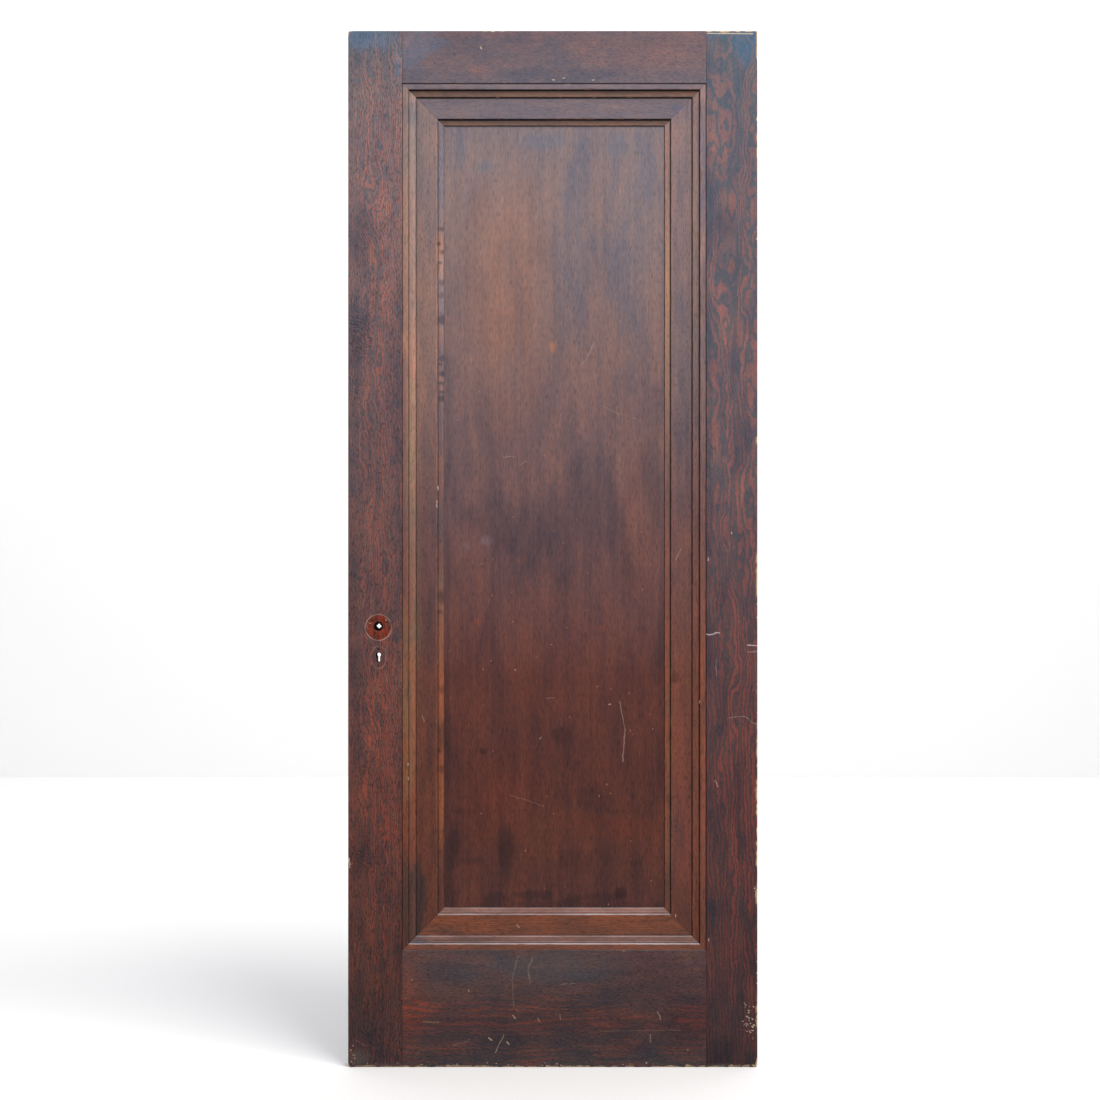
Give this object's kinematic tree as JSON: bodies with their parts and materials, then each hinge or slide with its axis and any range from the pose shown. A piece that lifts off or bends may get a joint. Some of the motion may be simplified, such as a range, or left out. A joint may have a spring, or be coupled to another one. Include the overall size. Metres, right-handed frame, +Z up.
{
  "type": "solid wood door",
  "caption": "Tall solid wood door: a large recessed panel in stepped, mitred mouldings, a mortise lock whose knob is missing, and hinge gains cut in the other edge.",
  "frame": {"origin": "middle of the underside, where the door stands on its bottom rail and stiles", "axes": "+Z up the door, +X from the lock edge to the hinge edge seen from the front, -Y out of the front face"},
  "size_m": [0.843, 0.0446, 2.134],
  "materials": {
    "stile_wood": "figured hardwood under an old red-brown varnish, satin, worn at the edges",
    "rail_wood": "figured hardwood under an old red-brown varnish, satin, scuffed along the bottom",
    "moulding_wood": "straight-grained hardwood, stained and varnished, satin",
    "panel_wood": "fine-grained hardwood, stained and varnished, cloudy satin",
    "lock_iron": "blackened, dull",
    "aged_brass": "tarnished"
  },
  "bodies": {
    "door": {"lock_stile": "stile_wood", "hinge_stile": "stile_wood", "top_rail": "rail_wood", "bottom_rail": "rail_wood", "panel": "panel_wood", "front_moulding_top": "moulding_wood", "front_moulding_bottom": "moulding_wood", "front_moulding_left": "moulding_wood", "front_moulding_right": "moulding_wood", "back_moulding_top": "moulding_wood", "back_moulding_bottom": "moulding_wood", "back_moulding_left": "moulding_wood", "back_moulding_right": "moulding_wood", "lock_case": "lock_iron", "lock_faceplate": "aged_brass", "faceplate_screw_upper": "aged_brass", "faceplate_screw_lower": "aged_brass"},
    "hub": {"lock_hub": "lock_iron"},
    "latch": {"latch_bolt": "aged_brass"},
    "bolt": {"dead_bolt": "aged_brass"}
  },
  "joints": [
    {"name": "hub_turn", "type": "hinge", "parent": "door", "child": "hub", "pos_m": [-0.3591, 0, 0.9078], "axis": [0, 1, 0], "range_deg": [-45, 45]},
    {"name": "latch_slide", "type": "slide", "parent": "door", "child": "latch", "axis": [-1, 0, 0], "range_m": [0, 0.011]},
    {"name": "dead_bolt_slide", "type": "slide", "parent": "door", "child": "bolt", "axis": [-1, 0, 0], "range_m": [0, 0.013]}
  ]
}
